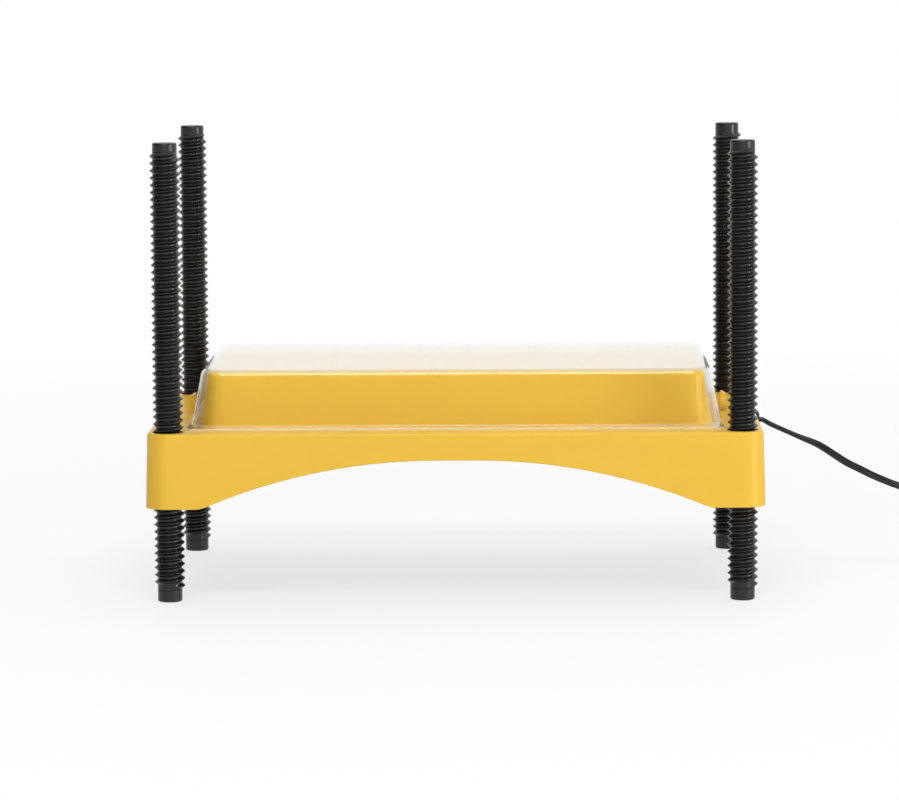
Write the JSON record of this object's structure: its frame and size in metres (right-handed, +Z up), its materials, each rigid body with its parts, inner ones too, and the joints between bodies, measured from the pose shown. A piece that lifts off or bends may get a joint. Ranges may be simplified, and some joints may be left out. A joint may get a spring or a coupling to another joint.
{
  "type": "brooder heating plate",
  "caption": "Warm brooding plate in a moulded frame with arched sides, on screw legs that set its height, with a lift-off clear cover and a thin lead to a plug-in adaptor.",
  "frame": {"origin": "on the floor under the middle of the frame", "axes": "+X to the right along the long side, towards the end that the lead leaves; +Y to the back; +Z up"},
  "size_m": [0.5025, 0.2, 0.2225],
  "materials": {
    "yellow_plastic": "gloss",
    "clear_plastic": "clear gloss",
    "black_plastic": "satin gloss",
    "plate_black": "fine matt",
    "steel": "zinc plated",
    "aluminium": "mill finish",
    "amber_film": "gloss film",
    "track_metal": "etched foil",
    "insulation": "felt",
    "sheet_board": "plain",
    "brown_plastic": "plain",
    "white_plastic": "plain",
    "brass": "bright",
    "red_wire": "satin",
    "blue_wire": "satin",
    "black_cord": "satin",
    "plated_blade": "nickel plated"
  },
  "bodies": {
    "frame": {"top_shell": "yellow_plastic", "heater_plate": "plate_black", "plate_screws": "steel", "heat_spreader": "aluminium", "element_film": "amber_film", "heater_track": "track_metal", "insulation_pad": "insulation", "bay_sheet": "sheet_board", "thermal_cutout": "brown_plastic", "cutout_bracket": "steel", "cutout_rivets": "aluminium", "terminal_block": "white_plastic", "terminal_screws": "brass", "line_wire": "red_wire", "element_wire": "red_wire", "return_wire": "blue_wire", "inner_cord": "black_cord", "strain_relief": "black_cord", "clamp_bar": "steel", "clamp_screws": "steel", "lead_run": "black_cord", "lead_coil": "black_cord", "coil_tie": "plate_black", "lead_tail": "black_cord", "adaptor_boot": "black_cord", "adaptor_base": "plate_black", "adaptor_cap": "plate_black", "plug_blades": "plated_blade"},
    "cover": {"clear_cover": "clear_plastic"},
    "front_left_foot": {"foot_front_left": "black_plastic"},
    "front_left_leg": {"leg_front_left": "black_plastic"},
    "front_right_foot": {"foot_front_right": "black_plastic"},
    "front_right_leg": {"leg_front_right": "black_plastic"},
    "back_left_foot": {"foot_back_left": "black_plastic"},
    "back_left_leg": {"leg_back_left": "black_plastic"},
    "back_right_foot": {"foot_back_right": "black_plastic"},
    "back_right_leg": {"leg_back_right": "black_plastic"}
  },
  "joints": [
    {"name": "cover_lift", "type": "slide", "parent": "frame", "child": "cover", "axis": [0, 0, 1], "range_m": [0, 0.16]},
    {"name": "front_left_height", "type": "slide", "parent": "frame", "child": "front_left_foot", "axis": [0, 0, 1], "range_m": [-0.13, 0.04]},
    {"name": "front_left_turn", "type": "hinge", "parent": "front_left_foot", "child": "front_left_leg", "pos_m": [-0.1388, -0.0888, 0], "axis": [0, 0, 1], "continuous": true},
    {"name": "front_right_height", "type": "slide", "parent": "frame", "child": "front_right_foot", "axis": [0, 0, 1], "range_m": [-0.13, 0.04]},
    {"name": "front_right_turn", "type": "hinge", "parent": "front_right_foot", "child": "front_right_leg", "pos_m": [0.1388, -0.0888, 0], "axis": [0, 0, 1], "continuous": true},
    {"name": "back_left_height", "type": "slide", "parent": "frame", "child": "back_left_foot", "axis": [0, 0, 1], "range_m": [-0.13, 0.04]},
    {"name": "back_left_turn", "type": "hinge", "parent": "back_left_foot", "child": "back_left_leg", "pos_m": [-0.1388, 0.0888, 0], "axis": [0, 0, 1], "continuous": true},
    {"name": "back_right_height", "type": "slide", "parent": "frame", "child": "back_right_foot", "axis": [0, 0, 1], "range_m": [-0.13, 0.04]},
    {"name": "back_right_turn", "type": "hinge", "parent": "back_right_foot", "child": "back_right_leg", "pos_m": [0.1388, 0.0888, 0], "axis": [0, 0, 1], "continuous": true}
  ],
  "couplings": [
    {"joint": "front_left_turn", "follows": "front_left_height", "rad_per_m": 1795.2},
    {"joint": "front_right_turn", "follows": "front_right_height", "rad_per_m": 1795.2},
    {"joint": "back_left_turn", "follows": "back_left_height", "rad_per_m": 1795.2},
    {"joint": "back_right_turn", "follows": "back_right_height", "rad_per_m": 1795.2}
  ]
}
